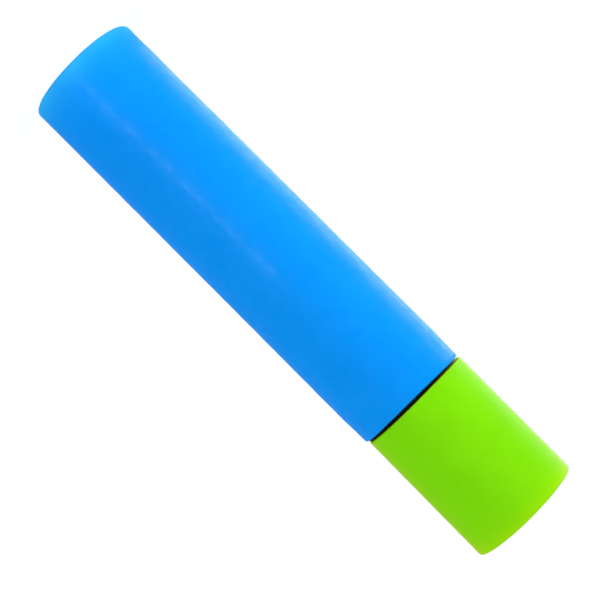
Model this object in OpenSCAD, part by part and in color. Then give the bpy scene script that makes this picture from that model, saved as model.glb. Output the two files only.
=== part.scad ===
// Hand-pumped water squirter: a foam-covered barrel with a nozzle in its front end
// and a plunger with a foam grip, drawn out to fill it and pushed in to squirt.
// Millimetres. +Z runs from the nozzle to the grip, and the part stands on its front
// rim with the grip up. The origin is the centre of the front rim.

/* [Foam] */
// Outside diameter of the foam sleeve round the barrel
sleeve_d = 60; // [50:0.5:80]
// Length of the foam sleeve
sleeve_len = 224.5; // [170:0.5:400]
// Rounding of the sleeve's two outer rims
sleeve_edge_r = 2; // [1:0.5:4]
// Outside diameter of the foam grip
grip_d = 59.6; // [50:0.2:80]
// Length of the foam grip
grip_len = 75.5; // [60:0.5:120]
// Rounding of the grip's two outer rims
grip_edge_r = 1.2; // [0.6:0.2:4]
// Slit between sleeve and grip when the plunger is pushed home
foam_gap = 2; // [1.2:0.1:5]

/* [Tubes] */
// Outside diameter of the barrel tube and of the grip's core tube
tube_d = 40; // [37:0.5:48]
// Wall of both tubes
tube_wall = 2.2; // [1.8:0.1:2.6]

/* [Nozzle cap] */
// Depth of the cap's face behind the front rim
cap_recess = 8; // [6.5:0.5:16]
// Thickness of the cap's flange
cap_flange_t = 3; // [2:0.5:5]
// Length of the spigot that plugs the barrel
cap_spigot_len = 13; // [12:0.5:20]
// Wall of the cap's spigot
cap_spigot_wall = 5; // [4.5:0.1:6]
// Bore of the nozzle
orifice_d = 5; // [3:0.5:6]
// Straight length of the nozzle's bore
orifice_len = 4.5; // [2:0.5:5]
// Width of the funnel that leads into the nozzle
funnel_d = 12; // [8:0.5:16]
// Diameter of the nozzle at its tip
nozzle_tip_d = 9; // [8:0.5:12]
// Diameter of the nozzle at its base
nozzle_base_d = 14; // [12:0.5:18]
// Depth of the nozzle's tip behind the front rim
nozzle_setback = 2.5; // [1:0.5:4]
// Number of ribs on the cap's face
cap_ribs = 6; // [3:1:8]
// Thickness of those ribs
cap_rib_t = 1.6; // [1:0.2:2.4]
// Height of those ribs at the nozzle
cap_rib_h = 3.2; // [2:0.2:3.4]
// Width of the lip round the cap's face
cap_lip_w = 2; // [1:0.2:3]
// Height of that lip
cap_lip_h = 1.5; // [0.6:0.1:2]
// Thickness of the cap's sealing ring
cap_seal_t = 2.5; // [1.8:0.1:3]
// Distance of the sealing ring from the end of the tube
cap_seal_inset = 9; // [8.5:0.1:9.5]

/* [Collar and end caps] */
// Thickness of the flange on the collar and on the grip's two end caps
flange_t = 3; // [2:0.5:4]
// Length of the collar's spigot in the barrel
collar_spigot_len = 14; // [10:0.5:24]
// Length of the front end cap's spigot in the grip
front_spigot_len = 14; // [10:0.5:20]
// Length of the rear end cap's spigot in the grip
rear_spigot_len = 12; // [8:0.5:16]
// Outer wall of those spigots
spigot_wall = 1.8; // [1.2:0.1:2.2]
// Chamfer that leads a spigot or the piston into its bore
lead_in = 0.8; // [0.4:0.1:1]
// Wall of the inner sleeve that guides the rod
guide_wall = 2; // [1.4:0.1:2.4]
// Arc of each rib between the moulding pockets, in degrees
pocket_rib_arc = 24; // [20:1:40]
// Arc of each air vent through the collar, in degrees
vent_arc = 18; // [8:1:18]
// Inset of each air vent from the walls of its pocket
vent_inset = 0.4; // [0.2:0.1:0.6]
// Bore of the bumper ring
bumper_bore = 34; // [32:0.5:40]
// Inset of the bumper ring's edge from the flat of the sleeve's rim
bumper_inset = 0.5; // [0:0.1:3]
// Depth of the rear end cap's face behind the grip's rear rim
rear_recess = 3; // [1:0.5:8]
// Length of the rear end cap's screw boss
boss_len = 14; // [8:0.5:20]
// Diameter of that boss
boss_d = 14; // [12:0.5:18]
// Number of ribs between the boss and the spigot
rear_ribs = 6; // [3:1:8]
// Thickness of those ribs
rear_rib_t = 1.6; // [1:0.2:2.4]
// Width of the raised rim on the rear end cap's face
rear_rim_w = 2.5; // [1:0.5:4]
// Depth of that face inside its rim
rear_dish = 0.8; // [0.4:0.1:1.2]

/* [Plunger] */
// Outside diameter of the rod
rod_d = 22; // [18:0.5:23]
// Wall of the rod
rod_wall = 2; // [1.5:0.1:2.5]
// Length of the piston's sealing body
piston_len = 13; // [10:0.5:24]
// Thickness of the piston's front wall
piston_floor = 3; // [2:0.5:6]
// Thickness of the piston's sealing ring
piston_seal_t = 3.6; // [2.6:0.1:4]
// Length of the piston's spigot inside the rod
piston_spigot_len = 20; // [16:0.5:40]
// Wall of the piston's hollow spigot
piston_core_wall = 2.5; // [1.8:0.1:4]
// Thickness of the washer that softens the end of the stroke
washer_t = 3; // [1.5:0.5:6]
// Length of the plug in the rod's rear end
plug_len = 28; // [26:0.5:40]
// Thickness of the plug's shoulder
plug_shoulder_t = 2; // [1:0.5:4]
// Diameter of the two cross pins that hold the piston and the plug in the rod
pin_d = 3; // [2:0.5:4]
// Distance of each cross pin from the inner end of what it holds
pin_inset = 8; // [6:0.5:9]

/* [Screws] */
// Diameter of the grip screw
screw_d = 4; // [3:0.5:5]
// Length of the grip screw inside the plug
screw_bite = 15; // [10:0.5:18]
// Diameter of the grip screw's head
screw_head_d = 8; // [7:0.5:9]
// Height of the grip screw's head
screw_head_h = 2.6; // [2:0.1:2.8]
// Depth of the sunk seat for that head
screw_seat_depth = 4; // [3:0.5:5]
// Width of the arms of the cross recess in that head
recess_w = 1.2; // [0.8:0.1:1.6]
// Span of the cross recess
recess_span = 4.6; // [3:0.1:5]
// Depth of the cross recess
recess_depth = 1.4; // [0.8:0.1:1.6]
// Number of small screws that hold each cap in its tube
cap_screws = 3; // [2:1:4]
// Diameter of those screws
cap_screw_d = 2.9; // [2:0.1:3.5]
// Length of those screws
cap_screw_len = 6; // [5:0.1:6.4]
// Diameter of their countersunk heads
cap_screw_head_d = 5.4; // [4.5:0.1:6]
// Height of their countersunk heads
cap_screw_head_h = 1.4; // [1:0.1:1.5]
// Depth of those heads below the tube's surface
cap_screw_sink = 0.3; // [0.25:0.05:0.5]
// Distance of those screws from the tube's end
cap_screw_inset = 4; // [3.5:0.1:4.5]

/* [Clearances] */
// Glue line between foam and tube
glue_gap = 0.1; // [0.05:0.05:0.3]
// Fixed fits, such as a spigot in a tube
fit_gap = 0.1; // [0.05:0.05:0.2]
// Running fit of the rod in its collar
rod_gap = 0.25; // [0.1:0.05:0.5]
// Running fit of the piston in the barrel
piston_gap = 0.3; // [0.1:0.05:0.6]
// Room between the edge of the stop washer and the barrel
washer_gap = 1.8; // [0.6:0.1:3]
// Sealing rings, screws and pins in their seats
seat_gap = 0.05; // [0.02:0.01:0.1]
// Side play of a sealing ring in its groove
groove_play = 0.4; // [0.1:0.1:0.6]
// Room left round the piston's nose when the plunger is pushed home
home_gap = 0.5; // [0.3:0.1:2]
// Room left at the end of the stroke
stop_gap = 0.5; // [0.3:0.1:2]
// Room between bumper ring and grip when the plunger is pushed home
bumper_gap = 0.3; // [0.2:0.05:0.6]

/* [Hidden] */
$fn = 96;
// Length of a cut past the face it opens
overcut = 1;

blue_foam = [0.08, 0.58, 0.98];
green_foam = [0.48, 0.87, 0.06];
black_foam = [0.05, 0.05, 0.05];
white_plastic = [0.93, 0.94, 0.94];
milky_plastic = [0.86, 0.89, 0.91];
black_rubber = [0.08, 0.08, 0.08];
grey_rubber = [0.3, 0.3, 0.31];
steel = [0.7, 0.71, 0.72];

tube_r = tube_d / 2;
bore_r = tube_r - tube_wall;
spigot_r = bore_r - fit_gap;
foam_bore_r = tube_r + glue_gap;
rod_r = rod_d / 2;
rod_bore_r = rod_r - rod_wall;
core_r = rod_bore_r - fit_gap;
orifice_r = orifice_d / 2;
funnel_r = funnel_d / 2;
boss_r = boss_d / 2;

// Heights in the barrel
tube_z0 = cap_recess + cap_flange_t;
tube_z1 = sleeve_len - flange_t;
cap_z1 = tube_z0 + cap_spigot_len;
cup_r = spigot_r - cap_spigot_wall;
funnel_z = nozzle_setback + orifice_len;
cap_seal_z = tube_z0 + cap_seal_inset;
cap_screw_z = tube_z0 + cap_screw_inset;
collar_screw_z = tube_z1 - cap_screw_inset;

// Heights on the plunger when it is pushed home
nose_z = tube_z0 + home_gap;
piston_z0 = cap_z1 + home_gap;
piston_z1 = piston_z0 + piston_len;
piston_seal_z = (piston_z0 + piston_z1) / 2;
piston_spigot_z1 = piston_z1 + piston_spigot_len;
piston_pin_z = piston_spigot_z1 - pin_inset;
stroke = tube_z1 - collar_spigot_len - stop_gap - washer_t - piston_z1;

// Heights in the grip when the plunger is pushed home
grip_z0 = sleeve_len + foam_gap;
grip_z1 = grip_z0 + grip_len;
core_z0 = grip_z0 + flange_t;
rear_face_z = grip_z1 - rear_recess;
core_z1 = rear_face_z - flange_t;
front_screw_z = core_z0 + cap_screw_inset;
boss_z = core_z1 - boss_len;
rod_z1 = boss_z - plug_shoulder_t;
plug_z0 = rod_z1 - plug_len;
plug_pin_z = plug_z0 + pin_inset;
screw_seat_z = rear_face_z - screw_seat_depth;
screw_tip_z = boss_z - screw_bite;

echo(stroke = stroke, overall_length = grip_z1);

// A round tube standing on z = 0
module ring(r_out, r_in, h) {
    rotate_extrude() translate([r_in, 0]) square([r_out - r_in, h]);
}

// A foam tube standing on z = 0, with its two outer rims rounded
module foam_tube(r_out, r_in, h, edge_r) {
    rotate_extrude() {
        translate([r_in, edge_r]) square([r_out - r_in, h - 2 * edge_r]);
        translate([r_in, 0]) square([r_out - r_in - edge_r, h]);
        for (z = [edge_r, h - edge_r])
            translate([r_out - edge_r, z]) circle(r = edge_r);
    }
}

// A rubber ring of round section, pressed outwards against the bore
module seal_ring(thickness) {
    rotate_extrude()
        translate([bore_r - seat_gap - thickness / 2, 0]) circle(d = thickness);
}

// The groove that such a ring sits in
module seal_groove(thickness) {
    width = thickness + 2 * groove_play;
    translate([0, 0, -width / 2]) ring(tube_r, bore_r - 2 * seat_gap - thickness, width);
}

// An arc of a ring standing on z = 0, centred on the X axis
module ring_arc(r_out, r_in, h, arc) {
    rotate(-arc / 2) rotate_extrude(angle = arc)
        translate([r_in, 0]) square([r_out - r_in, h]);
}

// Places small screws, or their holes, round a tube at height z, pointing inwards
module round_the_tube(z) {
    for (i = [0 : cap_screws - 1])
        rotate(i * 360 / cap_screws)
            translate([tube_r - cap_screw_sink, 0, z]) rotate([0, -90, 0]) children();
}

// A small screw standing on its countersunk head, with a pointed end
module cap_screw() {
    head_r = cap_screw_head_d / 2;
    shank_r = cap_screw_d / 2;
    rotate_extrude() polygon([
        [0, 0],
        [head_r, 0],
        [shank_r, cap_screw_head_h],
        [shank_r, cap_screw_len - shank_r],
        [0, cap_screw_len]
    ]);
}

// The sunk hole for that screw
module cap_screw_hole() {
    head_r = cap_screw_head_d / 2 + seat_gap;
    shank_r = cap_screw_d / 2 + seat_gap;
    rotate_extrude() polygon([
        [0, -overcut],
        [head_r, -overcut],
        [head_r, 0],
        [shank_r, cap_screw_head_h],
        [shank_r, cap_screw_len + seat_gap],
        [0, cap_screw_len + seat_gap]
    ]);
}

// A cross pin through the rod at height z
module cross_pin(z) {
    pin_len = rod_d - 2 * rod_gap;
    translate([-pin_len / 2, 0, z]) rotate([0, 90, 0]) cylinder(d = pin_d, h = pin_len);
}

// The hole for that pin
module cross_pin_hole(z) {
    translate([-rod_d, 0, z]) rotate([0, 90, 0])
        cylinder(d = pin_d + 2 * seat_gap, h = 2 * rod_d);
}

// A flanged cap that holds or guides the rod. Its flange lies under z = 0 and its spigot
// above, cored out by pockets between its outer wall and its inner sleeve.
module guide_cap(guide_r, spigot_len, vented) {
    pockets = 2 * cap_screws;
    pocket_step = 360 / pockets;
    pocket_r0 = guide_r + guide_wall;
    pocket_r1 = spigot_r - spigot_wall;
    difference() {
        rotate_extrude() polygon([
            [guide_r, -flange_t],
            [tube_r, -flange_t],
            [tube_r, 0],
            [spigot_r, 0],
            [spigot_r, spigot_len - lead_in],
            [spigot_r - lead_in, spigot_len],
            [guide_r, spigot_len]
        ]);
        for (i = [0 : pockets - 1]) rotate((i + 0.5) * pocket_step) {
            ring_arc(pocket_r1, pocket_r0, spigot_len + overcut, pocket_step - pocket_rib_arc);
            if (vented) translate([0, 0, -flange_t - overcut])
                ring_arc(pocket_r1 - vent_inset, pocket_r0 + vent_inset, flange_t + 2 * overcut, vent_arc);
        }
        round_the_tube(cap_screw_inset) cap_screw_hole();
    }
}

// The barrel: foam sleeve, tube, nozzle cap, rear collar and bumper ring

module foam_sleeve() {
    color(blue_foam) foam_tube(sleeve_d / 2, foam_bore_r, sleeve_len, sleeve_edge_r);
}

module barrel_tube() {
    color(milky_plastic) difference() {
        translate([0, 0, tube_z0]) ring(tube_r, bore_r, tube_z1 - tube_z0);
        for (z = [cap_screw_z, collar_screw_z]) round_the_tube(z) cap_screw_hole();
    }
}

module nozzle_cap() {
    lip_r = tube_r - cap_lip_w;
    lip_z = cap_recess - cap_lip_h;
    color(white_plastic) difference() {
        union() {
            rotate_extrude() polygon([
                [0, nozzle_setback],
                [nozzle_tip_d / 2, nozzle_setback],
                [nozzle_base_d / 2, cap_recess],
                [lip_r, cap_recess],
                [lip_r, lip_z],
                [tube_r, lip_z],
                [tube_r, tube_z0],
                [spigot_r, tube_z0],
                [spigot_r, cap_z1 - lead_in],
                [spigot_r - lead_in, cap_z1],
                [0, cap_z1]
            ]);
            for (i = [0 : cap_ribs - 1]) rotate(i * 360 / cap_ribs) cap_rib(lip_r);
        }
        water_way();
        translate([0, 0, cap_seal_z]) seal_groove(cap_seal_t);
        round_the_tube(cap_screw_z) cap_screw_hole();
    }
}

// The way through the nozzle cap: the piston's cup, the funnel and the nozzle's bore
module water_way() {
    rotate_extrude() polygon([
        [0, nozzle_setback - overcut],
        [orifice_r, nozzle_setback - overcut],
        [orifice_r, funnel_z],
        [funnel_r, tube_z0],
        [cup_r, tube_z0],
        [cup_r, cap_z1 + overcut],
        [0, cap_z1 + overcut]
    ]);
}

// One rib on the cap's face, falling from the nozzle to half the lip's height
module cap_rib(lip_r) {
    inner_r = (orifice_d + nozzle_tip_d) / 4;
    outer_r = lip_r + cap_lip_w / 2;
    root_z = cap_recess + cap_flange_t / 4;
    end_z = cap_recess - cap_lip_h / 2;
    translate([0, cap_rib_t / 2, 0]) rotate([90, 0, 0]) linear_extrude(cap_rib_t)
        polygon([
            [inner_r, root_z],
            [outer_r, root_z],
            [outer_r, end_z],
            [lip_r, end_z],
            [inner_r, cap_recess - cap_rib_h]
        ]);
}

module nozzle_seal() {
    color(black_rubber) translate([0, 0, cap_seal_z]) seal_ring(cap_seal_t);
}

module nozzle_cap_screws() {
    color(steel) round_the_tube(cap_screw_z) cap_screw();
}

module rear_collar() {
    color(white_plastic) translate([0, 0, tube_z1]) rotate([180, 0, 0])
        guide_cap(rod_r + rod_gap, collar_spigot_len, true);
}

module collar_screws() {
    color(steel) round_the_tube(collar_screw_z) cap_screw();
}

module bumper_ring() {
    bumper_r = sleeve_d / 2 - sleeve_edge_r - bumper_inset;
    color(black_foam) translate([0, 0, sleeve_len])
        ring(bumper_r, bumper_bore / 2, foam_gap - bumper_gap);
}

// The plunger: piston, rod and what holds them together

module piston_seal() {
    color(black_rubber) translate([0, 0, piston_seal_z]) seal_ring(piston_seal_t);
}

// The piston's nose fills the nozzle cap's cup and funnel, so that little water stays behind
module piston() {
    piston_r = bore_r - piston_gap;
    nose_r = cup_r - home_gap;
    cone_r = funnel_r - home_gap;
    cone_z = (funnel_z + nose_z) / 2;
    hollow_r = core_r - piston_core_wall;
    floor_z = nose_z + piston_floor;
    color(white_plastic) difference() {
        rotate_extrude() polygon([
            [0, cone_z],
            [orifice_r, cone_z],
            [cone_r, nose_z],
            [nose_r, nose_z],
            [nose_r, piston_z0],
            [piston_r - lead_in, piston_z0],
            [piston_r, piston_z0 + lead_in],
            [piston_r, piston_z1],
            [core_r, piston_z1],
            [core_r, piston_spigot_z1 - lead_in],
            [core_r - lead_in, piston_spigot_z1],
            [hollow_r, piston_spigot_z1],
            [hollow_r, floor_z],
            [0, floor_z]
        ]);
        translate([0, 0, piston_seal_z]) seal_groove(piston_seal_t);
        cross_pin_hole(piston_pin_z);
    }
}

module piston_pin() {
    color(steel) cross_pin(piston_pin_z);
}

module stop_washer() {
    color(grey_rubber) translate([0, 0, piston_z1])
        ring(bore_r - washer_gap, rod_r + fit_gap, washer_t);
}

module plunger_rod() {
    color(white_plastic) difference() {
        translate([0, 0, piston_z1]) ring(rod_r, rod_bore_r, rod_z1 - piston_z1);
        for (z = [piston_pin_z, plug_pin_z]) cross_pin_hole(z);
    }
}

module rod_end_plug() {
    color(white_plastic) difference() {
        rotate_extrude() polygon([
            [0, plug_z0],
            [core_r - lead_in, plug_z0],
            [core_r, plug_z0 + lead_in],
            [core_r, rod_z1],
            [rod_r, rod_z1],
            [rod_r, boss_z],
            [0, boss_z]
        ]);
        grip_screw_hole();
        cross_pin_hole(plug_pin_z);
    }
}

module plug_pin() {
    color(steel) cross_pin(plug_pin_z);
}

// The grip: core tube, two end caps, their screws and the foam

module core_tube() {
    color(milky_plastic) difference() {
        translate([0, 0, core_z0]) ring(tube_r, bore_r, core_z1 - core_z0);
        round_the_tube(front_screw_z) cap_screw_hole();
    }
}

module grip_front_cap() {
    color(white_plastic) translate([0, 0, core_z0])
        guide_cap(rod_r + fit_gap, front_spigot_len, false);
}

module grip_cap_screws() {
    color(steel) round_the_tube(front_screw_z) cap_screw();
}

module grip_rear_cap() {
    pocket_r = spigot_r - spigot_wall;
    spigot_z0 = core_z1 - rear_spigot_len;
    dish_z = rear_face_z - rear_dish;
    rim_r = tube_r - rear_rim_w;
    rib_z0 = core_z1 - min(rear_spigot_len, boss_len) + lead_in;
    color(white_plastic) difference() {
        union() {
            rotate_extrude() polygon([
                [0, boss_z],
                [boss_r, boss_z],
                [boss_r, core_z1],
                [pocket_r, core_z1],
                [pocket_r, spigot_z0],
                [spigot_r - lead_in, spigot_z0],
                [spigot_r, spigot_z0 + lead_in],
                [spigot_r, core_z1],
                [tube_r, core_z1],
                [tube_r, rear_face_z],
                [rim_r, rear_face_z],
                [rim_r, dish_z],
                [boss_r, dish_z],
                [boss_r, rear_face_z],
                [0, rear_face_z]
            ]);
            for (i = [0 : rear_ribs - 1]) rotate(i * 360 / rear_ribs)
                rear_rib(pocket_r + spigot_wall / 2, rib_z0);
        }
        grip_screw_hole();
    }
}

// One rib inside the rear end cap, from the boss to the spigot
module rear_rib(outer_r, z0) {
    inner_r = (boss_r + screw_head_d / 2) / 2;
    root_z = core_z1 + flange_t / 4;
    translate([inner_r, -rear_rib_t / 2, z0])
        cube([outer_r - inner_r, rear_rib_t, root_z - z0]);
}

// A pan-head screw with a cross recess, from the rear end cap into the rod's plug
module grip_screw() {
    head_r = screw_head_d / 2;
    shank_r = screw_d / 2;
    head_z = screw_seat_z + screw_head_h;
    head_bevel = screw_head_h / 2;
    color(steel) difference() {
        rotate_extrude() polygon([
            [0, screw_tip_z],
            [shank_r, screw_tip_z + screw_d],
            [shank_r, screw_seat_z],
            [head_r, screw_seat_z],
            [head_r, head_z - head_bevel],
            [head_r - head_bevel, head_z],
            [0, head_z]
        ]);
        for (a = [0, 90]) rotate(a)
            translate([-recess_span / 2, -recess_w / 2, head_z - recess_depth])
                cube([recess_span, recess_w, recess_depth + overcut]);
    }
}

// The hole for that screw, with the sunk seat for its head
module grip_screw_hole() {
    shank_r = screw_d / 2 + seat_gap;
    seat_r = screw_head_d / 2 + rod_gap;
    rotate_extrude() polygon([
        [0, screw_tip_z - seat_gap],
        [shank_r, screw_tip_z - seat_gap],
        [shank_r, screw_seat_z],
        [seat_r, screw_seat_z],
        [seat_r, rear_face_z + overcut],
        [0, rear_face_z + overcut]
    ]);
}

module foam_grip() {
    color(green_foam) translate([0, 0, grip_z0])
        foam_tube(grip_d / 2, foam_bore_r, grip_len, grip_edge_r);
}

foam_sleeve();
barrel_tube();
nozzle_cap();
nozzle_seal();
nozzle_cap_screws();
rear_collar();
collar_screws();
bumper_ring();
piston_seal();
piston();
piston_pin();
stop_washer();
plunger_rod();
rod_end_plug();
plug_pin();
core_tube();
grip_front_cap();
grip_cap_screws();
grip_rear_cap();
grip_screw();
foam_grip();
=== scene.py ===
"""A hand-pumped water squirter: a foam-covered barrel and a plunger with a foam grip.

It stands on its front rim, nozzle down and grip up, in metres.
"""
import math

import bmesh
import bpy
from mathutils import Matrix, Vector


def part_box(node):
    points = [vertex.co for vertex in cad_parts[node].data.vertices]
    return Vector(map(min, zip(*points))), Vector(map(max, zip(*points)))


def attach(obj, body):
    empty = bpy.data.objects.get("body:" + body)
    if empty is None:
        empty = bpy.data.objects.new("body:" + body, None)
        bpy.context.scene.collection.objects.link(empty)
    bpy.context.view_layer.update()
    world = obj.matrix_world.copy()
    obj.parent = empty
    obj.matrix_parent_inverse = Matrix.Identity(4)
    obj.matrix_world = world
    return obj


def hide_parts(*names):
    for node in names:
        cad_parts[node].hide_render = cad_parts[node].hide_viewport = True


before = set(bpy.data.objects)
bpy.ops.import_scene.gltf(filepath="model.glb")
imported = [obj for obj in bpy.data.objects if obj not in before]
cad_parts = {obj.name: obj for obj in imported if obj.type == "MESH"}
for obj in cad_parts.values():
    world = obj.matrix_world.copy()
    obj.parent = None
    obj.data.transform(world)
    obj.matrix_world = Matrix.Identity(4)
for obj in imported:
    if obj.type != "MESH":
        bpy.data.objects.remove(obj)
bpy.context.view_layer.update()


# Barrel tube
# The tube that holds the water, drawn from milky polypropylene and cut to length.
# Its wall shows faint lines along the draw. Both caps are screwed into its ends.

def add_node(tree, kind, feed=None, **settings):
    """Adds a shader node, sets its properties and feeds its sockets with values or other outputs."""
    node = tree.nodes.new(kind)
    for name, value in settings.items():
        setattr(node, name, value)
    for socket, value in (feed or {}).items():
        if isinstance(value, bpy.types.NodeSocket):
            tree.links.new(value, node.inputs[socket])
        else:
            node.inputs[socket].default_value = value
    return node


def calculate(tree, operation, *values):
    """A sum, product or other step on numbers that change over the surface."""
    return add_node(tree, "ShaderNodeMath", dict(enumerate(values)), operation=operation).outputs[0]


def spread(tree, value, low, high):
    """Spreads a pattern's middle stretch, 0.3 to 0.7, over a range of its own."""
    feed = {"Value": value, "From Min": 0.3, "From Max": 0.7, "To Min": low, "To Max": high}
    return add_node(tree, "ShaderNodeMapRange", feed).outputs["Result"]


def noise(tree, place, feature, detail=2.0):
    """A soft random pattern whose features are about as wide as the size given, in metres."""
    feed = {"Vector": place, "Scale": 1.0 / feature, "Detail": detail, "Roughness": 0.55}
    return add_node(tree, "ShaderNodeTexNoise", feed).outputs["Fac"]


def in_features(tree, place, feature):
    """A place measured in features of a pattern, whose size is a value of the effect."""
    feed = {0: place, "Scale": calculate(tree, "DIVIDE", 1.0, feature)}
    return add_node(tree, "ShaderNodeVectorMath", feed, operation="SCALE").outputs[0]


def shared(tree, first, share, second):
    """Two patterns added together in shares that make a whole."""
    return calculate(tree, "MULTIPLY_ADD", first, share, calculate(tree, "MULTIPLY", second, 1.0 - share))


def new_effect(name, inputs, outputs):
    """A group of shader nodes with named values in and patterns out."""
    group = bpy.data.node_groups.new(name, "ShaderNodeTree")
    for socket, value in inputs.items():
        entry = group.interface.new_socket(socket, in_out="INPUT", socket_type="NodeSocketFloat")
        entry.default_value = value
    for socket in outputs:
        group.interface.new_socket(socket, in_out="OUTPUT", socket_type="NodeSocketFloat")
    given = group.nodes.new("NodeGroupInput").outputs
    taken = group.nodes.new("NodeGroupOutput").inputs
    place = group.nodes.new("ShaderNodeTexCoord").outputs["Object"]
    return group, given, taken, place


def drawn_lines_effect():
    """Fine lines along a drawn tube, and slow cloudiness in its wall."""
    group, given, taken, place = new_effect(
        "drawn_lines", {"Line Width": 0.0006, "Line Length": 0.12}, ("Tone", "Gloss Loss", "Height"))
    across = calculate(group, "DIVIDE", 1.0, given["Line Width"])
    along = calculate(group, "DIVIDE", 1.0, given["Line Length"])
    stretch = add_node(group, "ShaderNodeCombineXYZ", {"X": across, "Y": across, "Z": along}).outputs[0]
    lined = add_node(group, "ShaderNodeVectorMath", {0: place, 1: stretch}, operation="MULTIPLY").outputs[0]
    lines = noise(group, lined, 1.0)
    clouds = noise(group, place, 0.014)
    group.links.new(shared(group, lines, 0.4, clouds), taken["Tone"])
    group.links.new(lines, taken["Gloss Loss"])
    group.links.new(lines, taken["Height"])
    return group


def finish_material(name, effect, values, dark, light, roughness, relief,
                    rubbed_and_lit=None, skin_gloss=0.0, **fixed):
    """A material whose colour, roughness and relief follow an effect, and whose other values are fixed.

    A paler colour of painted light with some rubbing wear, and a glossy skin, if it has them,
    lie only where the effect says so.
    """
    material = bpy.data.materials.new(name)
    material.use_nodes = True
    tree = material.node_tree
    shader = tree.nodes["Principled BSDF"]
    pattern = add_node(tree, "ShaderNodeGroup", node_tree=effect)
    for socket, value in values.items():
        pattern.inputs[socket].default_value = value
    tone = spread(tree, pattern.outputs["Tone"], 0.0, 1.0)
    shades = {0: tone, 6: (*dark, 1.0), 7: (*light, 1.0)}
    colour = add_node(tree, "ShaderNodeMix", shades, data_type="RGBA")
    # Painted light: a paler colour mixed in where the effect says, with some rubbing wear.
    if rubbed_and_lit:
        rub_and_light = {0: pattern.outputs["Rub And Light"], 6: colour.outputs[2], 7: (*rubbed_and_lit, 1.0)}
        colour = add_node(tree, "ShaderNodeMix", rub_and_light, data_type="RGBA")
    bump = add_node(tree, "ShaderNodeBump", {"Height": pattern.outputs["Height"], "Distance": relief})
    tree.links.new(colour.outputs[2], shader.inputs["Base Color"])
    tree.links.new(spread(tree, pattern.outputs["Gloss Loss"], *roughness), shader.inputs["Roughness"])
    tree.links.new(bump.outputs["Normal"], shader.inputs["Normal"])
    if skin_gloss:
        coat = calculate(tree, "MULTIPLY", pattern.outputs["Skin"], skin_gloss)
        tree.links.new(coat, shader.inputs["Coat Weight"])
    for socket, value in fixed.items():
        shader.inputs[socket.replace("_", " ")].default_value = value
    return material


def dress(material, *nodes):
    """Gives solids of the frame a material."""
    for name in nodes:
        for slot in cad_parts[name].material_slots:
            slot.material = material


drawn_lines = drawn_lines_effect()
milky_plastic = finish_material(
    "milky_plastic", drawn_lines, {}, dark=(0.66, 0.70, 0.73), light=(0.75, 0.79, 0.82),
    roughness=(0.28, 0.42), relief=0.00003, Subsurface_Weight=0.25, Subsurface_Scale=0.004)
dress(milky_plastic, "barrel_tube")


# Nozzle cap
# The front cap with the nozzle, its ribs and its lip, moulded in white polypropylene.
# Its skin has the fine grain of a spark-cut mould and faint flow marks round the gate.

def moulded_grain_effect():
    """The grain that a mould leaves on plastic, with slow flow marks under it."""
    group, given, taken, place = new_effect(
        "moulded_grain", {"Grain": 0.0004, "Flow": 0.009}, ("Tone", "Gloss Loss", "Height"))
    grain = noise(group, in_features(group, place, given["Grain"]), 1.0)
    flow_place = in_features(group, place, given["Flow"])
    swirl = {"Vector": flow_place, "Scale": 1.0, "Detail": 3.0, "Distortion": 1.2}
    flow = add_node(group, "ShaderNodeTexNoise", swirl).outputs["Fac"]
    group.links.new(flow, taken["Tone"])
    group.links.new(shared(group, grain, 0.5, flow), taken["Gloss Loss"])
    group.links.new(grain, taken["Height"])
    return group


moulded_grain = moulded_grain_effect()
white_plastic = finish_material(
    "white_plastic", moulded_grain, {}, dark=(0.78, 0.79, 0.79), light=(0.85, 0.86, 0.86),
    roughness=(0.30, 0.46), relief=0.00002, Subsurface_Weight=0.12, Subsurface_Scale=0.002)
dress(white_plastic, "nozzle_cap")


# Sealing rings and stop washer
# Two black rubber rings, one pressed into the nozzle cap's groove and one into the piston's,
# and a grey rubber washer behind the piston. Rubber keeps a dull skin with a faint bloom.

def rubber_bloom_effect():
    """The dusty bloom of rubber, in patches over a fine dull skin."""
    group, given, taken, place = new_effect(
        "rubber_bloom", {"Patch": 0.003}, ("Tone", "Gloss Loss", "Height"))
    patches = noise(group, in_features(group, place, given["Patch"]), 1.0, detail=4.0)
    skin = noise(group, place, 0.0003)
    group.links.new(patches, taken["Tone"])
    group.links.new(patches, taken["Gloss Loss"])
    group.links.new(skin, taken["Height"])
    return group


rubber_bloom = rubber_bloom_effect()
black_rubber = finish_material(
    "black_rubber", rubber_bloom, {}, dark=(0.008, 0.008, 0.008), light=(0.022, 0.022, 0.023),
    roughness=(0.50, 0.70), relief=0.00003)
grey_rubber = finish_material(
    "grey_rubber", rubber_bloom, {"Patch": 0.005}, dark=(0.060, 0.060, 0.064), light=(0.095, 0.095, 0.10),
    roughness=(0.58, 0.76), relief=0.00004)
dress(black_rubber, "nozzle_seal", "piston_seal")
dress(grey_rubber, "stop_washer")


# Piston and plunger rod
# The piston and the plug in the rod's rear end are moulded, and the rod between them is drawn.
# The rod carries long fine scuffs, because it slides through the collar at each stroke.

rod_plastic = finish_material(
    "rod_plastic", drawn_lines, {"Line Width": 0.0003, "Line Length": 0.05},
    dark=(0.74, 0.75, 0.76), light=(0.84, 0.85, 0.85), roughness=(0.24, 0.44), relief=0.00003,
    Subsurface_Weight=0.12, Subsurface_Scale=0.002)
dress(white_plastic, "piston", "rod_end_plug")
dress(rod_plastic, "plunger_rod")


# Rear collar
# The cap that guides the rod, moulded in the same white plastic as the nozzle cap.
# Six vents through its flange let the air behind the piston in and out.

dress(white_plastic, "rear_collar")


# Screws and cross pins
# Small countersunk screws hold the caps in their tubes, one pan-head screw holds the rear end
# cap, and two pins cross the rod. All are bright steel with the marks of rolling and turning.

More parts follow.
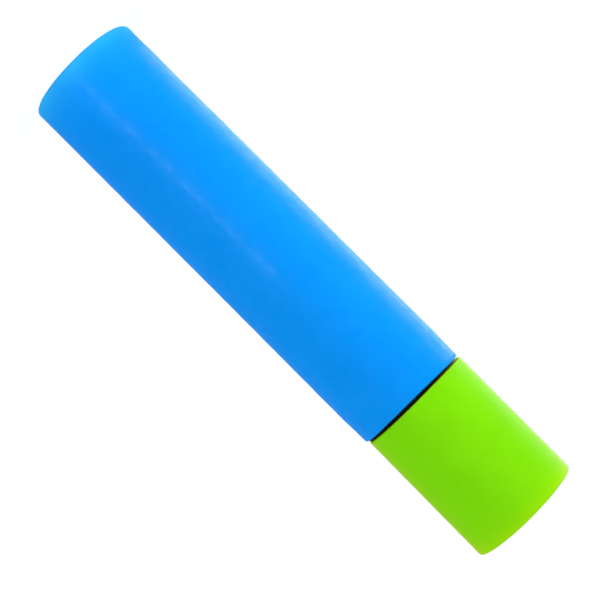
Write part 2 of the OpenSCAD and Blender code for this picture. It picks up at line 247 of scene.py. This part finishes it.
def turned_steel_effect():
    """Fine marks of turning and handling on bright steel."""
    group, given, taken, place = new_effect(
        "turned_steel", {"Mark": 0.0002}, ("Tone", "Gloss Loss", "Height"))
    marks = noise(group, in_features(group, place, given["Mark"]), 1.0)
    handling = noise(group, place, 0.002, detail=3.0)
    group.links.new(handling, taken["Tone"])
    group.links.new(shared(group, marks, 0.4, handling), taken["Gloss Loss"])
    group.links.new(marks, taken["Height"])
    return group


turned_steel = turned_steel_effect()
steel = finish_material(
    "steel", turned_steel, {}, dark=(0.50, 0.50, 0.51), light=(0.62, 0.62, 0.63),
    roughness=(0.22, 0.38), relief=0.00001, Metallic=1.0)
dress(steel, "nozzle_cap_screws", "collar_screws", "grip_cap_screws", "grip_screw")
dress(steel, "piston_pin", "plug_pin")


# Bumper ring
# A thin ring of black foam on the sleeve's rear face, cut from sheet and stuck on. It takes
# the push of the grip and shows as the dark slit between the two foams. Its upper edge is
# squeezed out a little to one side.

hair = 1e-5
level_normal = 0.9


def pick(piece, kind, test):
    """Selects, in edit mode, the vertices, edges or faces of a piece that pass a test."""
    bpy.ops.mesh.select_mode(type=kind)
    bpy.ops.mesh.select_all(action="DESELECT")
    mesh = bmesh.from_edit_mesh(piece.data)
    for element in {"VERT": mesh.verts, "EDGE": mesh.edges, "FACE": mesh.faces}[kind]:
        if test(element):
            element.select_set(True)
    bmesh.update_edit_mesh(piece.data)


def from_axis(vertex):
    """How far a vertex lies from the axis of the tube."""
    return math.hypot(vertex.co.x, vertex.co.y)


def radius_of(node):
    """The outer radius of a round solid of the frame."""
    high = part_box(node)[1]
    return max(high.x, high.y)


def start_foam_tube(name, outer_r, bore_r, step_r, low, high, sides):
    """A cylinder, left in edit mode, with ends inset to a step and then to the bore, which is bridged."""
    middle = (0, 0, (low + high) / 2)
    bpy.ops.object.select_all(action="DESELECT")
    bpy.ops.mesh.primitive_cylinder_add(vertices=sides, radius=outer_r, depth=high - low,
                                        end_fill_type="NGON", location=middle)
    tube = bpy.context.object
    tube.name = tube.data.name = name
    bpy.ops.object.transform_apply(location=True)
    bpy.ops.object.mode_set(mode="EDIT")
    pick(tube, "FACE", lambda face: abs(face.normal.z) > level_normal)
    bpy.ops.mesh.inset(thickness=outer_r - step_r)
    bpy.ops.mesh.inset(thickness=step_r - bore_r)
    bpy.ops.mesh.bridge_edge_loops()
    return tube


def round_rim(tube, outer_r, z, edge_r, segments):
    """Rounds the outer rim of a foam tube at one of its ends."""
    def on_rim(vertex):
        return abs(vertex.co.z - z) < hair and from_axis(vertex) > outer_r - hair
    pick(tube, "EDGE", lambda edge: all(on_rim(vertex) for vertex in edge.verts))
    bpy.ops.mesh.bevel(offset=edge_r, segments=segments, profile=0.5, affect="EDGES")


def cut_lengthwise(tube, outer_r, cuts):
    """Cuts a foam tube's outer wall into rings."""
    def runs_along(edge):
        a, b = edge.verts
        return abs(a.co.z - b.co.z) > hair and min(from_axis(a), from_axis(b)) > outer_r - hair
    pick(tube, "EDGE", runs_along)
    bpy.ops.mesh.subdivide(number_cuts=cuts)


def foam_cells_effect():
    """Closed-cell foam: a patchy skin with faint cells and mottling, and open cells where it is cut.

    The cut shows at the tube's two ends, given by their heights. Near either end the skin is painted paler,
    most at the edge and less further in: painted light along the rims, with some rubbing wear.
    """
    skin_ends, skin_starts = 0.0001, 0.0006
    cell_swell, cell_share = 0.35, 0.3
    cut_cell_scale, cut_cell_depth = 0.8, 4.0
    cut_hollow_shade_top, cut_hollow_shade_fall = 0.75, 1.6
    cut_gloss_loss = 0.9
    patch_range = (0.2, 1.8)
    rub_and_light_range = (0.8, 1.2)
    rub_and_light_lost_on_cut = 0.6
    group, given, taken, place = new_effect(
        "foam_cells",
        {"Low End": 0.0, "High End": 0.2, "Low Wear": 0.0, "High Wear": 0.0, "Rub And Light Reach": 0.005,
         "Cell": 0.0009, "Patch": 0.004, "Mottle": 0.018},
        ("Tone", "Gloss Loss", "Height", "Skin", "Rub And Light"))
    height = add_node(group, "ShaderNodeSeparateXYZ", {0: place}).outputs["Z"]
    from_low = calculate(group, "SUBTRACT", height, given["Low End"])
    from_high = calculate(group, "SUBTRACT", given["High End"], height)
    from_cut = calculate(group, "MINIMUM", from_low, from_high)
    to_skin = {"Value": from_cut, "From Min": skin_ends, "From Max": skin_starts,
               "To Min": 1.0, "To Max": 0.0}
    cut = add_node(group, "ShaderNodeMapRange", to_skin, interpolation_type="SMOOTHSTEP").outputs["Result"]
    cell_place = in_features(group, place, given["Cell"])
    cells = add_node(group, "ShaderNodeTexVoronoi", {"Vector": cell_place, "Scale": 1.0},
                     feature="SMOOTH_F1").outputs["Distance"]
    walls = add_node(group, "ShaderNodeTexVoronoi", {"Vector": cell_place, "Scale": cut_cell_scale},
                     feature="DISTANCE_TO_EDGE").outputs["Distance"]
    mottle = noise(group, in_features(group, place, given["Mottle"]), 1.0, detail=3.0)
    skin_height = calculate(group, "MULTIPLY", cells, cell_swell)
    cut_height = calculate(group, "MINIMUM", calculate(group, "MULTIPLY", walls, -cut_cell_depth), 0.0)
    # Painted shade: the cut face is darker towards the middle of each open cell, where its bump is deepest.
    cut_hollow_shade = calculate(group, "MULTIPLY_ADD", walls, -cut_hollow_shade_fall, cut_hollow_shade_top)
    skin_loss = shared(group, cells, cell_share, mottle)
    for output, on_skin, on_cut in (("Tone", mottle, cut_hollow_shade), ("Gloss Loss", skin_loss, cut_gloss_loss),
                                    ("Height", skin_height, cut_height)):
        both = add_node(group, "ShaderNodeMix", {0: cut, 2: on_skin, 3: on_cut}).outputs[0]
        group.links.new(both, taken[output])
    patches = noise(group, in_features(group, place, given["Patch"]), 1.0, detail=3.0)
    skin = calculate(group, "SUBTRACT", 1.0, cut)
    group.links.new(calculate(group, "MULTIPLY", skin, spread(group, patches, *patch_range)), taken["Skin"])
    # Painted light: paler skin near the ends, fading inward, standing in for light on the rims, with some
    # rubbing wear.
    rub_and_light = 0.0
    fade = calculate(group, "MULTIPLY", given["Rub And Light Reach"], -1.0)
    for from_end, amount in ((from_low, given["Low Wear"]), (from_high, given["High Wear"])):
        reached = calculate(group, "DIVIDE", from_end, fade)
        rub_and_light = calculate(group, "MULTIPLY_ADD", calculate(group, "EXPONENT", reached), amount, rub_and_light)
    skin_share = calculate(group, "MULTIPLY_ADD", cut, -rub_and_light_lost_on_cut, 1.0)
    uneven_share = calculate(group, "MULTIPLY", spread(group, mottle, *rub_and_light_range), skin_share)
    group.links.new(calculate(group, "MULTIPLY", rub_and_light, uneven_share), taken["Rub And Light"])
    return group


bumper_low, bumper_high = (corner.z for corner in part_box("bumper_ring"))
bumper_r = radius_of("bumper_ring")
bumper_inward = 0.003
bumper_bore_r = radius_of("barrel_tube") - bumper_inward
bumper_rim_w = 0.001
bumper_edge_r = 0.0001
bumper_lip_t = 0.0008
bumper_lip = 0.00015
bumper_lip_out = 0.0014
bumper_lip_reach = 0.022
bumper_lip_low = bumper_high - bumper_lip_t
foam_sides = 224
foam_grasp = 0.004
smooth_angle = math.radians(40)


def bow_rim(tube, core_r, at, move, reach):
    """Bows a rim of a foam tube, most at one point and less further away. What lies within core_r stays."""
    pick(tube, "VERT", lambda v: from_axis(v) < core_r)
    bpy.ops.mesh.hide()
    pick(tube, "VERT", lambda v: (v.co - at).length < foam_grasp and not v.hide)
    bpy.ops.transform.translate(value=move, use_proportional_edit=True,
                                proportional_edit_falloff="SMOOTH", proportional_size=reach)
    bpy.ops.mesh.reveal(select=False)


def on_lip(face):
    """Tells whether a face is on the outer wall of the bumper ring's upper part."""
    on_wall = min(from_axis(vertex) for vertex in face.verts) > bumper_r - hair
    return on_wall and face.calc_center_median().z > bumper_lip_low


bumper = start_foam_tube("bumper_foam", bumper_r, bumper_bore_r, bumper_r - bumper_rim_w,
                         bumper_low, bumper_lip_low, foam_sides)
pick(bumper, "FACE", lambda face: face.normal.z > level_normal)
bpy.ops.mesh.extrude_region_move(TRANSFORM_OT_translate={"value": (0, 0, bumper_lip_t)})
pick(bumper, "FACE", on_lip)
bpy.ops.mesh.extrude_region_shrink_fatten(TRANSFORM_OT_shrink_fatten={"value": bumper_lip})
round_rim(bumper, bumper_r + bumper_lip, bumper_high, bumper_edge_r, segments=3)
bow_rim(bumper, bumper_r + hair, Vector((bumper_r, 0, bumper_high)),
        (bumper_lip_out, 0, 0), bumper_lip_reach)
bpy.ops.object.mode_set(mode="OBJECT")
bpy.ops.object.shade_smooth_by_angle(angle=smooth_angle)

foam_cells = foam_cells_effect()
black_foam = finish_material(
    "black_foam", foam_cells, {"Low End": bumper_low, "High End": bumper_high, "Cell": 0.0006},
    dark=(0.004, 0.004, 0.004), light=(0.009, 0.009, 0.009), roughness=(0.78, 0.92), relief=0.0001,
    Specular_IOR_Level=0.1)
bumper.data.materials.append(black_foam)
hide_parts("bumper_ring")
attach(bumper, "barrel")


# Foam sleeve
# A tube of blue closed-cell foam with a smooth skin, cut to length and glued round the barrel.
# Its cut edges are turned over. Hand cutting has left the rear edge a little bowed. The front edge
# is painted paler: painted light on the rounded rim that faces the floor, with some rubbing wear.

sleeve_low, sleeve_high = (corner.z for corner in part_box("foam_sleeve"))
sleeve_r = radius_of("foam_sleeve")
glue_line = 0.0001
sleeve_bore_r = radius_of("barrel_tube") + glue_line
bumper_room = 0.00005
sleeve_step_r = bumper_r + bumper_lip + bumper_room
skin_play = 0.0001
sleeve_skin_r = sleeve_step_r + skin_play
sleeve_front_edge_r = 0.0022
sleeve_rear_edge_r = 0.0012
sleeve_rear_taper = 0.0004
sleeve_fullness = 0.0002
sleeve_swell = 0.0007
sleeve_swell_rise = 1.5
sleeve_rings = 15
sleeve_rings_between = 11
rear_bows = {1: (0.0008, 0.032), -1: (0.0018, 0.040)}
front_bow = 0.0003
front_bow_reach = 0.032
wall_play = 0.0005
foam_lump = 0.030
foam_dimple = 0.006
sleeve_lumps = {foam_lump: 0.0001, foam_dimple: 0.0002}
sleeve_lump_zone = 0.0012
blue_dark = (0.001, 0.300, 0.970)
blue_light = (0.003, 0.318, 1.000)
# Painted light: a paler blue near the front rim, with some rubbing wear.
blue_rubbed_and_lit = (0.036, 0.550, 1.000)

sleeve = start_foam_tube("foam_sleeve_soft", sleeve_r, sleeve_bore_r, sleeve_step_r,
                         sleeve_low, sleeve_high, foam_sides)
round_rim(sleeve, sleeve_r, sleeve_low, sleeve_front_edge_r, segments=8)
round_rim(sleeve, sleeve_r, sleeve_high, sleeve_rear_edge_r, segments=8)
cut_lengthwise(sleeve, sleeve_r, sleeve_rings)


def skin_levels(tube, inner_r):
    """The heights at which a foam tube's outer skin has a ring of vertices."""
    mesh = bmesh.from_edit_mesh(tube.data)
    levels = []
    for z in sorted(vertex.co.z for vertex in mesh.verts if from_axis(vertex) > inner_r):
        if not levels or z - levels[-1] > hair:
            levels.append(z)
    return levels


def pick_skin_ring(tube, inner_r, level):
    """Selects one ring of vertices of a foam tube's outer skin."""
    pick(tube, "VERT", lambda v: abs(v.co.z - level) < hair and from_axis(v) > inner_r)


for level in skin_levels(sleeve, sleeve_skin_r):
    pick_skin_ring(sleeve, sleeve_skin_r, level)
    share = (level - sleeve_low) / (sleeve_high - sleeve_low)
    taper = sleeve_rear_taper if level > sleeve_high - 2 * sleeve_rear_edge_r else 0.0
    full = 1 + (sleeve_fullness - taper) / sleeve_r
    swell = sleeve_swell * share ** sleeve_swell_rise / (2 * sleeve_r)
    bpy.ops.transform.resize(value=(full, full, 1), center_override=(0, 0, level))
    bpy.ops.transform.resize(value=(1 + swell, 1, 1), center_override=(-sleeve_r, 0, level))
cut_lengthwise(sleeve, sleeve_r - wall_play, sleeve_rings_between)
for side, (lift, reach) in rear_bows.items():
    bow_rim(sleeve, sleeve_skin_r, Vector((side * sleeve_r, 0, sleeve_high)), (0, 0, lift), reach)
bow_rim(sleeve, sleeve_skin_r, Vector((-sleeve_r, 0, sleeve_low)), (0, 0, front_bow), front_bow_reach)
bpy.ops.object.mode_set(mode="OBJECT")


def soften_skin(tube, inner_r, feature, depth):
    """Presses the unevenness of soft foam, of one width and depth, into a tube's outer skin."""
    skin = tube.vertex_groups.new(name="skin")
    skin.add([v.index for v in tube.data.vertices if from_axis(v) > inner_r], 1.0, "REPLACE")
    texture = bpy.data.textures.new(tube.name + "_lumps", "CLOUDS")
    texture.noise_scale = feature
    texture.noise_depth = 1
    bpy.ops.object.modifier_add(type="DISPLACE")
    lumps = tube.modifiers[-1]
    lumps.texture = texture
    lumps.texture_coords = "LOCAL"
    lumps.strength = depth
    lumps.mid_level = 0.5
    lumps.vertex_group = skin.name
    bpy.ops.object.modifier_apply(modifier=lumps.name)
    tube.vertex_groups.clear()


for feature, depth in sleeve_lumps.items():
    soften_skin(sleeve, sleeve_r - sleeve_lump_zone, feature, depth)
bpy.ops.object.shade_smooth_by_angle(angle=smooth_angle)

blue_foam = finish_material(
    "blue_foam", foam_cells, {"Low End": sleeve_low, "High End": sleeve_high, "Low Wear": 1.0},
    dark=blue_dark, light=blue_light, rubbed_and_lit=blue_rubbed_and_lit, roughness=(0.50, 0.62), relief=0.00004,
    skin_gloss=0.05, Specular_IOR_Level=0.01, Coat_Roughness=0.32)
sleeve.data.materials.append(blue_foam)
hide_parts("foam_sleeve")
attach(sleeve, "barrel")


# Grip core
# The grip's core is a short length of the same milky tube as the barrel. A front end cap
# centres the rod in it, and a ribbed rear end cap closes it, both in white plastic.

dress(milky_plastic, "core_tube")
dress(white_plastic, "grip_front_cap", "grip_rear_cap")


# Foam grip
# A shorter tube of green closed-cell foam, cut square and glued round the grip's core.
# It sits a little askew on the core, as soft tube does when it is pushed on by hand.
# Its rear edge is painted paler: painted light along the rim, with some rubbing wear.

grip_low, grip_high = (corner.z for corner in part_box("foam_grip"))
grip_r = radius_of("foam_grip")
grip_bore_r = radius_of("core_tube") + glue_line
grip_rim_w = 0.002
grip_step_r = grip_r - grip_rim_w
grip_skin_r = grip_step_r - skin_play
grip_edge_r = 0.0007
grip_lean_front = -0.00035
grip_lean_rear = 0.00020
grip_taper = 0.00025
grip_bow = 0.0010
grip_bow_reach = 0.036
grip_rings = 11
grip_rings_between = 5
grip_lumps = {foam_lump: 0.0001, foam_dimple: 0.00015}
grip_lump_zone = 0.0011
green_dark = (0.214, 0.765, 0.003)
green_light = (0.228, 0.805, 0.004)
# Painted light: a paler green near the rear rim, with some rubbing wear.
green_rubbed_and_lit = (0.370, 0.830, 0.004)
green_sheen = (0.8, 0.25, 0.03)

grip = start_foam_tube("foam_grip_soft", grip_r, grip_bore_r, grip_step_r,
                       grip_low, grip_high, foam_sides)
for z in (grip_low, grip_high):
    round_rim(grip, grip_r, z, grip_edge_r, segments=6)
cut_lengthwise(grip, grip_r, grip_rings)
for level in skin_levels(grip, grip_skin_r):
    pick_skin_ring(grip, grip_skin_r, level)
    share = (level - grip_low) / (grip_high - grip_low)
    full = 1 + grip_taper * share / grip_r
    lean = grip_lean_front + share * (grip_lean_rear - grip_lean_front)
    bpy.ops.transform.resize(value=(full, full, 1), center_override=(0, 0, level))
    bpy.ops.transform.translate(value=(lean, 0, 0))
cut_lengthwise(grip, grip_r - wall_play, grip_rings_between)
bow_rim(grip, grip_bore_r + skin_play, Vector((-grip_r, 0, grip_low)), (0, 0, grip_bow), grip_bow_reach)
bpy.ops.object.mode_set(mode="OBJECT")
for feature, depth in grip_lumps.items():
    soften_skin(grip, grip_r - grip_lump_zone, feature, depth)
bpy.ops.object.shade_smooth_by_angle(angle=smooth_angle)

green_foam = finish_material(
    "green_foam", foam_cells, {"Low End": grip_low, "High End": grip_high, "High Wear": 1.0},
    dark=green_dark, light=green_light, rubbed_and_lit=green_rubbed_and_lit, roughness=(0.50, 0.62), relief=0.00004,
    skin_gloss=0.013, Specular_IOR_Level=0.01, Coat_Roughness=0.32,
    Sheen_Weight=0.45, Sheen_Roughness=0.4, Sheen_Tint=(*green_sheen, 1.0))
grip.data.materials.append(green_foam)
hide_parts("foam_grip")
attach(grip, "plunger")


# Floor
# A plain white floor. It shows white with a faint shadow, and can be seen through from below.
# A round hole as wide as the barrel lets light up to the front rim and the nozzle's recess.

floor_r = 6.0
floor_sides = 128
floor_hole_r = 0.0312
floor_paint = (0.86, 0.86, 0.86)
floor_glow = 0.88
floor_shade = (0.16, 0.16, 0.16)

bpy.ops.object.select_all(action="DESELECT")
bpy.ops.mesh.primitive_circle_add(vertices=floor_sides, radius=floor_r, fill_type="NGON")
floor = bpy.context.object
floor.name = floor.data.name = "floor"
bpy.ops.object.mode_set(mode="EDIT")
bpy.ops.mesh.select_all(action="SELECT")
bpy.ops.mesh.inset(thickness=floor_r - floor_hole_r)
bpy.ops.mesh.delete(type="FACE")
bpy.ops.object.mode_set(mode="OBJECT")


def seen_rays(tree):
    """1 for the rays that look at the background, straight or by way of gloss or glass, and 0 for light."""
    path = tree.nodes.new("ShaderNodeLightPath")
    gloss = calculate(tree, "MAXIMUM", path.outputs["Is Glossy Ray"], path.outputs["Is Transmission Ray"])
    return calculate(tree, "MAXIMUM", path.outputs["Is Camera Ray"], gloss)


def floor_material():
    """Paint for the light that falls on it, and a glow that takes a shadow for the eye."""
    material = bpy.data.materials.new("floor_white")
    material.use_nodes = True
    tree = material.node_tree
    tree.nodes.remove(tree.nodes["Principled BSDF"])
    paint = add_node(tree, "ShaderNodeBsdfDiffuse", {"Color": (*floor_paint, 1.0)}).outputs[0]
    glow = add_node(tree, "ShaderNodeEmission", {"Strength": floor_glow}).outputs[0]
    shade = add_node(tree, "ShaderNodeBsdfDiffuse", {"Color": (*floor_shade, 1.0)}).outputs[0]
    seen = add_node(tree, "ShaderNodeAddShader", {0: glow, 1: shade}).outputs[0]
    upper = add_node(tree, "ShaderNodeMixShader", {0: seen_rays(tree), 1: paint, 2: seen}).outputs[0]
    clear = tree.nodes.new("ShaderNodeBsdfTransparent").outputs[0]
    below = tree.nodes.new("ShaderNodeNewGeometry").outputs["Backfacing"]
    both = add_node(tree, "ShaderNodeMixShader", {0: below, 1: upper, 2: clear}).outputs[0]
    tree.links.new(both, tree.nodes["Material Output"].inputs["Surface"])
    return material


floor.data.materials.append(floor_material())


# Studio
# Soft white light from all round, a key light from the side and a little more on the front end.
# Two strip lights beside the barrel show only in the gloss of its skin.

ambient = 0.89
white_light = (1.0, 1.0, 1.0, 1.0)


def studio_world():
    """Even white light on the object, and plain white to look at."""
    world = bpy.data.worlds.new("studio")
    world.use_nodes = True
    tree = world.node_tree
    light = tree.nodes["Background"]
    light.inputs["Color"].default_value = white_light
    light.inputs["Strength"].default_value = ambient
    white = add_node(tree, "ShaderNodeBackground", {"Color": white_light, "Strength": 1.0}).outputs[0]
    sides = {0: seen_rays(tree), 1: light.outputs[0], 2: white}
    both = add_node(tree, "ShaderNodeMixShader", sides).outputs[0]
    tree.links.new(both, tree.nodes["World Output"].inputs["Surface"])
    return world


def soft_light(name, place, aim, size, power, beam=180, shape=True, gloss=True):
    """A softbox at a place, turned to a point, that may light the shape, show in its gloss, or both."""
    lamp = bpy.data.lights.new(name, "AREA")
    lamp.shape = "RECTANGLE"
    lamp.size, lamp.size_y = size
    lamp.spread = math.radians(beam)
    lamp.energy = power
    light = bpy.data.objects.new(name, lamp)
    light.location = place
    light.rotation_euler = (Vector(aim) - Vector(place)).to_track_quat("-Z", "Y").to_euler()
    light.visible_camera = False
    light.visible_diffuse = shape
    light.visible_glossy = gloss
    bpy.context.scene.collection.objects.link(light)


bpy.context.scene.world = studio_world()
bpy.context.scene.view_settings.view_transform = "Standard"
soft_light("key_light", place=(-0.44, -0.21, 0.03), aim=(0, 0, 0.10), size=(0.18, 0.18),
           power=1.12, gloss=False)
soft_light("front_light", place=(0, -0.50, 0.03), aim=(0, 0, -0.01), size=(0.05, 0.05),
           power=0.0018, beam=12, gloss=False)
soft_light("rim_strip", place=(-0.0883, 0.0469, 0.18), aim=(0, 0, 0.18), size=(0.083, 0.36),
           power=0.80, shape=False)
soft_light("front_strip", place=(0.0190, -0.0777, 0.07), aim=(0, 0, 0.07), size=(0.008, 0.14),
           power=0.060, shape=False)


# Camera
# It looks at the squirter's side from about the height of its middle, rolled so that the
# barrel runs from the upper left of the picture to the lower right.

camera_place = Vector((0.0046, -0.821, 0.1705))
camera_aim = Vector((0.0046, 0.0, 0.1540))
camera_roll = math.radians(134.87)
frame_px = 600
focal_px = 1700

lens = bpy.data.cameras.new("camera")
lens.sensor_width = 36.0
lens.lens = lens.sensor_width * focal_px / frame_px
lens.clip_start, lens.clip_end = 0.01, 50.0
camera = bpy.data.objects.new("camera", lens)
look = (camera_aim - camera_place).normalized()
right = Vector((math.cos(camera_roll), 0, math.sin(camera_roll)))
right = (right - right.dot(look) * look).normalized()
up = right.cross(look)
camera.matrix_world = Matrix.Translation(camera_place) @ Matrix((right, up, -look)).transposed().to_4x4()
bpy.context.scene.collection.objects.link(camera)
bpy.context.scene.camera = camera
